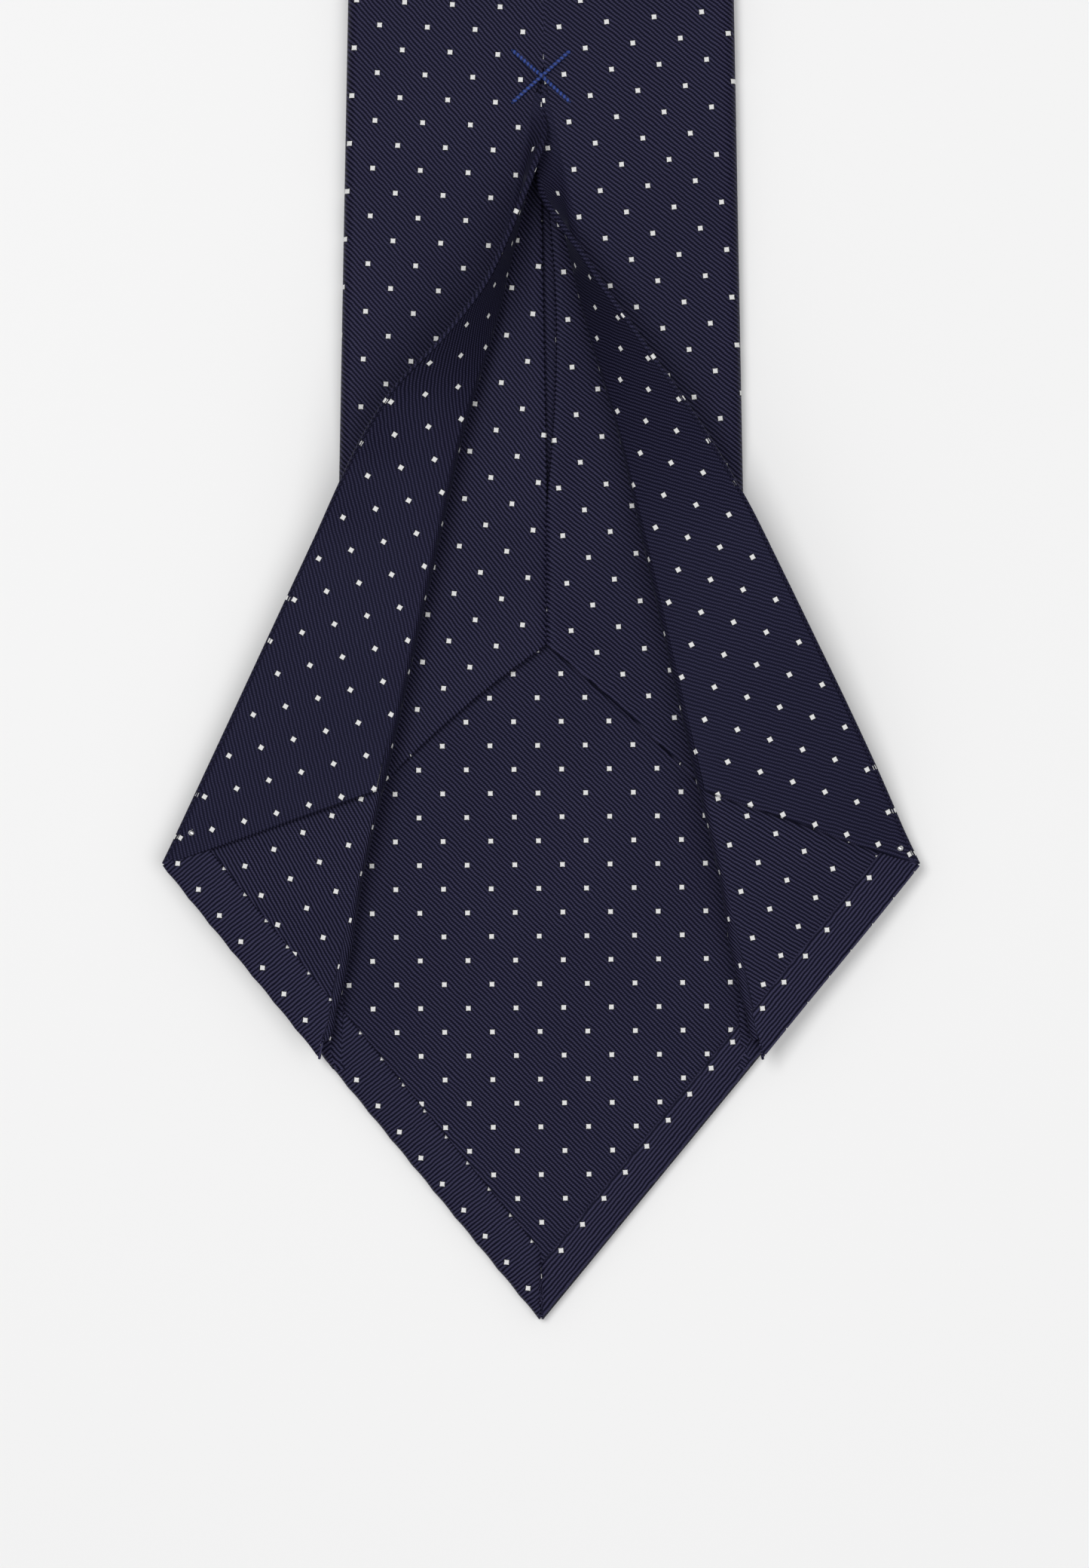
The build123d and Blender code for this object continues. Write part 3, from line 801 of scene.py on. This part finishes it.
make_blade_shell()
make_central_tipping()
for side in ("left", "right"):
    make_blade_hem(side)
    make_inner_fold(side)
    make_middle_fold(side)
    make_wing_tipping(side)
    make_wing_hem(side)
    make_pin(side)
    leaf = make_leaf(side)
    roll, lining_roll = make_rolls(side)
    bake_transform(leaf)
    for piece in (roll, lining_roll):
        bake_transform(piece)
    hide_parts(side + "_outer_wing", side + "_middle_wing")
make_blade_tack()

# ---- The upper runs -----------------------------------------------------------------------------

RUN_LENGTH = 300.0
RUN_BODIES = {2: "second_run", 3: "third_run", 4: "tail_run"}
# For each run: the heights of its back and of its face, and which way its stations run
RUNS = {
    2: (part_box("lower_neck_left_fold")[0].z / MM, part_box("lower_neck_face")[1].z / MM, -1),
    3: (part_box("upper_neck_left_fold")[1].z / MM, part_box("upper_neck_face")[0].z / MM, 1),
    4: (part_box("tail_left_fold")[0].z / MM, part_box("tail_face")[1].z / MM, -1),
}
BLADE_SEAM, TAIL_SEAM = 750.0, 1080.0  # on the centre line; both cross the tie at 45 degrees
TAIL_CORNER, TIE_LENGTH = 1456.0, 1480.0
SIDE_ROUND = 1.9


def section(width):
    """Once round a folded length of tie from its back seam: the distance across, how far from
    the back (0) to the face (1), and the flat distance from the face's middle."""
    round_x = np.minimum(SIDE_ROUND, width * 0.4)
    inner = width - round_x
    arc = pi * (round_x + 1.8) / 2
    t = np.linspace(0.0, 1.0, 15)[None, :]
    angle = np.linspace(0.0, pi, 11)[None, 1:-1]
    face = np.linspace(-1.0, 1.0, 25)[None, :]
    lap = np.minimum(0.6, inner * 0.5)
    left = lap - (inner + lap) * t
    right = inner - (inner + 0.2) * t
    x = [left, -inner - round_x * np.sin(angle), inner * face, inner + round_x * np.sin(angle), right]
    tuck = 0.12 * ease((t - 0.8) / 0.2)
    depth = [0 * left, 0.5 - 0.5 * np.cos(angle) + 0 * inner, 1 + 0 * inner * face,
             0.5 + 0.5 * np.cos(angle) + 0 * inner, tuck + 0 * right]
    flat = [-2 * inner - arc - left, -inner - arc * (1 - angle / pi), inner * face,
            inner + arc * (angle / pi), 2 * inner + arc - right]
    return tuple(np.concatenate(part, axis=1) for part in (x, depth, flat))


def run_grid(run, start_of, end_of, groove_start=False, groove_end=False):
    """A length of a run, between two lines given by the flat distance from the face's middle."""
    back, face, way = RUNS[run]
    near_start = [0.0, 0.2, 0.5, 0.9, 1.4]
    near_end = [98.6, 99.1, 99.5, 99.8, 100]
    steps = np.concatenate([near_start, np.linspace(3, 97, 90), near_end])
    share = (steps / 100)[:, None]
    middle_width = half_width((start_of(0.0) + end_of(0.0)) / 2)
    flat = section(np.array([[middle_width]]))[2]
    start, end = start_of(flat), end_of(flat)
    station = start + (end - start) * share
    width = half_width(station)
    x = np.empty_like(station)
    depth = np.empty_like(station)
    flats = np.empty_like(station)
    for row in range(len(station)):
        parts = section(width[row][:, None])
        x[row], depth[row], flats[row] = (np.diagonal(part) for part in parts)
    near = np.zeros_like(station)
    if groove_start:
        near = np.maximum(near, np.exp(-((station - start) / 0.5) ** 2))
    if groove_end:
        near = np.maximum(near, np.exp(-((end - station) / 0.5) ** 2))
    depth = 0.5 + (depth - 0.5) * (1 - 0.18 * near)
    x = x * (1 - 0.3 * near / np.maximum(width, 1.0))
    inset = SILK / 2 * np.sign(face - back)
    z = back + inset + (face - back - 2 * inset) * depth
    z = z + 0.15 * np.sin(station / 27.0 + x / 8.0) * (1 - near) * 0.6
    run_start = FIRST_CREASE + (run - 2) * RUN_LENGTH
    from_start = station - run_start
    crease = POINT_Y + FIRST_CREASE if run in (2, 4) else POINT_Y + FIRST_CREASE - RUN_LENGTH
    y = crease + way * from_start
    return stack(x, y, z), woven("tube", flats, station)


def make_run_piece(name, run, start_of, end_of, nodes, **grooves):
    piece = make_sheet(name, [run_grid(run, start_of, end_of, **grooves)], SILK, SILKS["silk"])
    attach(piece, RUN_BODIES[run])
    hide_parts(*nodes)
    return piece


def level(station):
    return lambda flat: station + 0 * flat


def slanting(station):
    return lambda flat: station + flat


def panel_nodes(panel):
    return [f"{panel}_{part}" for part in ("face", "left_fold", "right_fold")]


def make_turn(name, crease, backs, faces, station):
    """The cloth that goes round a crease between two runs."""
    joint = JOINTS[crease]
    axis_y, axis_z = joint["pos_m"][1] / MM, joint["pos_m"][2] / MM
    outwards = 1 if axis_y > 100 else -1
    angle = np.linspace(0.0, pi, 25)[:, None]
    share = angle / pi
    x, depth, flat = section(np.array([[half_width(station)]]))
    back = backs[0] + (backs[1] - backs[0]) * share
    face = faces[0] + (faces[1] - faces[0]) * share
    radius = back + (face - back) * depth
    x = x + 0 * radius
    bulge = 1 + 0.12 * np.sin(angle)
    y = axis_y + outwards * radius * np.sin(angle) * bulge
    z = axis_z - radius * np.cos(angle)
    far = max(max(backs), max(faces))
    flats = woven("tube", flat + 0 * radius, station + share * far * 2.0 + 0 * radius)
    piece = make_sheet(name, [(stack(x, y, z), flats)], SILK, SILKS["silk"])
    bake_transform(piece)
    return piece


def make_upper_silk():
    ends = [FIRST_CREASE + k * RUN_LENGTH for k in range(4)]
    make_run_piece("upper_blade_silk", 2, level(ends[0]), slanting(BLADE_SEAM),
                   panel_nodes("upper_blade"), groove_end=True)
    make_run_piece("lower_neck_silk", 2, slanting(BLADE_SEAM), level(ends[1]),
                   panel_nodes("lower_neck"), groove_start=True)
    make_run_piece("upper_neck_silk", 3, level(ends[1]), slanting(TAIL_SEAM),
                   panel_nodes("upper_neck"), groove_end=True)
    make_run_piece("upper_tail_silk", 3, slanting(TAIL_SEAM), level(ends[2]),
                   panel_nodes("upper_tail"), groove_start=True)
    make_run_piece("tail_silk", 4, level(ends[2]), level(TIE_LENGTH - 0.6), panel_nodes("tail"))
    rim = SILK / 2
    make_turn("first_turn", "first_crease", (0.5, 0.2 + rim), (5.15, 4.2 - rim),
              ends[0])
    make_turn("second_turn", "second_crease", (4.2 - rim, 4.2 - rim),
              (0.2 + rim, 0.2 + rim), ends[1])
    make_turn("third_turn", "third_crease", (1.1 + rim, 1.1 + rim),
              (5.1 - rim, 5.1 - rim), ends[2])


def make_tail_end():
    """The tail's point from behind: its lining, two hems, and where the folds stop."""
    back = RUNS[4][0]
    crease = POINT_Y + FIRST_CREASE
    base = FIRST_CREASE + 2 * RUN_LENGTH

    def tail_y(station):
        return crease - (station - base)

    share = np.linspace(-1.0, 1.0, 31)[None, :]
    station = np.linspace(TAIL_CORNER - 24, TIE_LENGTH - 2.0, 40)[:, None]
    width = half_width(station) - np.minimum(1.6, half_width(station) * 0.4)
    x = share * width
    z = back - 0.12 + 0.05 * np.sin(station / 4 + x / 5)
    grid = (stack(x, tail_y(station) + 0 * x, z), woven("tipping", x, station + 0 * x))
    lining = make_sheet("tail_lining", [grid], SILK * 0.6, SILKS["tipping"])
    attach(lining, "tail_run")
    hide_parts("tail_tipping")
    for side in ("left", "right"):
        sign = -1 if side == "left" else 1
        corner = np.array([half_width(TAIL_CORNER), TIE_LENGTH - TAIL_CORNER])
        length = hypot(*corner)
        direction = corner / length
        inward = np.array([-direction[1], direction[0]])
        along = np.linspace(0.3, length, 40)[:, None]
        across = np.linspace(0.25, 6.0, 10)[None, :]
        x = np.maximum(direction[0] * along + inward[0] * across, 0.05)
        station = TIE_LENGTH - direction[1] * along - inward[1] * across
        z = back - 0.35 - 0.1 * np.sin(pi * across / 6.0)
        hem = make_sheet(f"tail_{side}_edge", [(stack(sign * x, tail_y(station), z + 0 * x),
                                               hem_flats(side, along + 0 * across, across + 0 * along))],
                         SILK * 0.8, SILKS["hem"])
        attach(hem, "tail_run")
        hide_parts(f"tail_{side}_hem")


def make_interlining(node, body):
    """Soft wool between the silk layers, a little short of the silk's edges."""
    low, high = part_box(node)
    y = np.linspace(low.y, high.y, 120)[:, None] / MM
    flip = 1 if body in ("blade", "third_run") else -1
    share = np.linspace(-1.0, 1.0, 13)[None, :]
    offsets = {"blade": POINT_Y, "second_run": POINT_Y + 2 * FIRST_CREASE,
               "third_run": POINT_Y + FIRST_CREASE - RUN_LENGTH - 900.0,
               "tail_run": POINT_Y + FIRST_CREASE + 1200.0}
    station = (y - offsets[body]) * flip
    width = np.maximum(half_width(station) - 2.2, 0.3)
    x = share * width
    z = (low.z + high.z) / 2 / MM + 0 * x
    thickness = (high.z - low.z) / MM * 0.85
    grid = (stack(x, y + 0 * x, z), np.stack([x, y + 0 * x], -1))
    piece = make_sheet(node.replace("interlining", "wool"), [grid], thickness, WOOL)
    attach(piece, body)
    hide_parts(node)


def make_slip_stitch(node, body):
    """The long running stitch that closes the back."""
    low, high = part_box(node)
    y = np.arange(low.y / MM, high.y / MM, 1.0)
    z = (low.z + high.z) / 2 / MM
    path = stack(0.25 * np.sin(y * 2 * pi / 9.0), y, z + 0.12 * np.cos(y * 2 * pi / 9.0))
    piece = make_thread(node.replace("slip_stitch", "running_thread"), path, 0.12, NAVY_THREAD, sides=6)
    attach(piece, body)
    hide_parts(node)


def make_tail_tack():
    low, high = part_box("tail_bar_tack")
    y, z = (low.y + high.y) / 2 / MM, (low.z + high.z) / 2 / MM + 0.25
    t = np.linspace(-1.0, 1.0, 41)
    for name, way, arch in (("under", 1, 0.0), ("over", -1, 0.6)):
        path = stack(5.2 * t, y + way * 4.6 * t, z + 0.3 - arch * np.exp(-(t / 0.2) ** 2) + 0.35 * t ** 4)
        piece = make_thread("tail_tack_" + name, path, 0.35, BLUE_THREAD)
        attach(piece, "tail_run")
        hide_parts("tail_bar_tack")


def make_keeper():
    """The silk strap that holds the tail: doubled, with its two ends sewn down."""
    low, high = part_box("keeper_loop")
    reach, middle_y = high.x / MM, (low.y + high.y) / 2 / MM
    breadth = (high.y - low.y) / MM / 2
    x = np.linspace(-reach, reach, 161)
    rise = ease((reach - 3.6 - np.abs(x)) / 6.5)
    height = low.z / MM + 0.42 + (high.z - low.z) / MM * 0.9 * rise - 0.35 * np.cos(x / 9.0) * rise
    across = np.linspace(-1.0, 1.0, 15)[None, :]
    crown = 0.25 * (1 - across ** 4)
    y = middle_y + across * breadth + 0.2 * np.sin(x / 8.0)[:, None]
    places = stack(x[:, None] + 0 * y, y, height[:, None] + crown - 0.12)
    flats = woven("tube", x[:, None] + 0 * y, y)
    piece = make_sheet("keeper_strap", [(places, flats)], 0.7, SILKS["loop"])
    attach(piece, "blade")
    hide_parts("keeper_loop")
    t = np.linspace(0.0, 1.0, 25)
    for sign, end in ((-1, "left"), (1, "right")):
        path = stack(sign * (reach - 2.4) + 0.5 * np.sin(t * 14 * pi), middle_y + (t - 0.5) * breadth * 1.5,
                     low.z / MM + 1.0 + 0 * t)
        stitch = make_thread(f"keeper_{end}_stitch", path, 0.16, NAVY_THREAD, sides=8)
        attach(stitch, "blade")


make_upper_silk()
make_tail_end()
for node, body in (("blade_interlining", "blade"), ("upper_interlining", "second_run"),
                   ("neck_interlining", "third_run"), ("tail_interlining", "tail_run")):
    make_interlining(node, body)
for node, body in (("blade_slip_stitch", "blade"), ("upper_slip_stitch", "second_run"),
                   ("neck_slip_stitch", "third_run"), ("tail_slip_stitch", "tail_run")):
    make_slip_stitch(node, body)
make_tail_tack()
make_keeper()

# ---- Floor, light and camera --------------------------------------------------------------------

def make_floor():
    mesh = bpy.data.meshes.new("floor")
    reach = 3.0
    mesh.from_pydata([(-reach, -reach, 0), (reach, -reach, 0), (reach, reach, 0), (-reach, reach, 0)], [],
                     [(0, 1, 2, 3)])
    floor = bpy.data.objects.new("floor", mesh)
    bpy.context.collection.objects.link(floor)
    material = bpy.data.materials.new("floor_paper")
    material.use_nodes = True
    shader = material.node_tree.nodes["Principled BSDF"]
    shader.inputs["Base Color"].default_value = (0.9, 0.9, 0.9, 1)
    shader.inputs["Roughness"].default_value = 0.9
    shader.inputs["Specular IOR Level"].default_value = 0.1
    mesh.materials.append(material)


def make_light(name, place, aim, size, power):
    light = bpy.data.lights.new(name, "AREA")
    light.shape = "DISK"
    light.size = size
    light.energy = power
    lamp = bpy.data.objects.new(name, light)
    lamp.location = place
    direction = np.array(aim) - np.array(place)
    lamp.rotation_mode = "QUATERNION"
    lamp.rotation_quaternion = Vector(direction).to_track_quat("-Z", "Y")
    bpy.context.collection.objects.link(lamp)


KEY_POWER, FILL_POWER, WORLD_STRENGTH = 11.5, 9.2, 0.365
VIEW_CENTRE = (0.0007, -0.19225)
VIEW_LENGTH = 0.3146
CAMERA_HEIGHT = 1.1


def make_camera():
    data = bpy.data.cameras.new("camera")
    data.sensor_width = 36.0
    data.lens = data.sensor_width * CAMERA_HEIGHT / VIEW_LENGTH
    data.clip_end = 20.0
    camera = bpy.data.objects.new("camera", data)
    camera.location = (*VIEW_CENTRE, CAMERA_HEIGHT)
    bpy.context.collection.objects.link(camera)
    bpy.context.scene.camera = camera


make_floor()
make_light("key", (-0.5, 0.2, 1.5), (0, -0.15, 0), 0.8, KEY_POWER)
make_light("fill", (0.6, -0.5, 1.5), (0, -0.15, 0), 1.4, FILL_POWER)
world = bpy.data.worlds.new("studio")
world.use_nodes = True
world.node_tree.nodes["Background"].inputs["Color"].default_value = (1, 1, 1, 1)
world.node_tree.nodes["Background"].inputs["Strength"].default_value = WORLD_STRENGTH
bpy.context.scene.world = world
make_camera()
bpy.context.scene.view_settings.view_transform = "Standard"
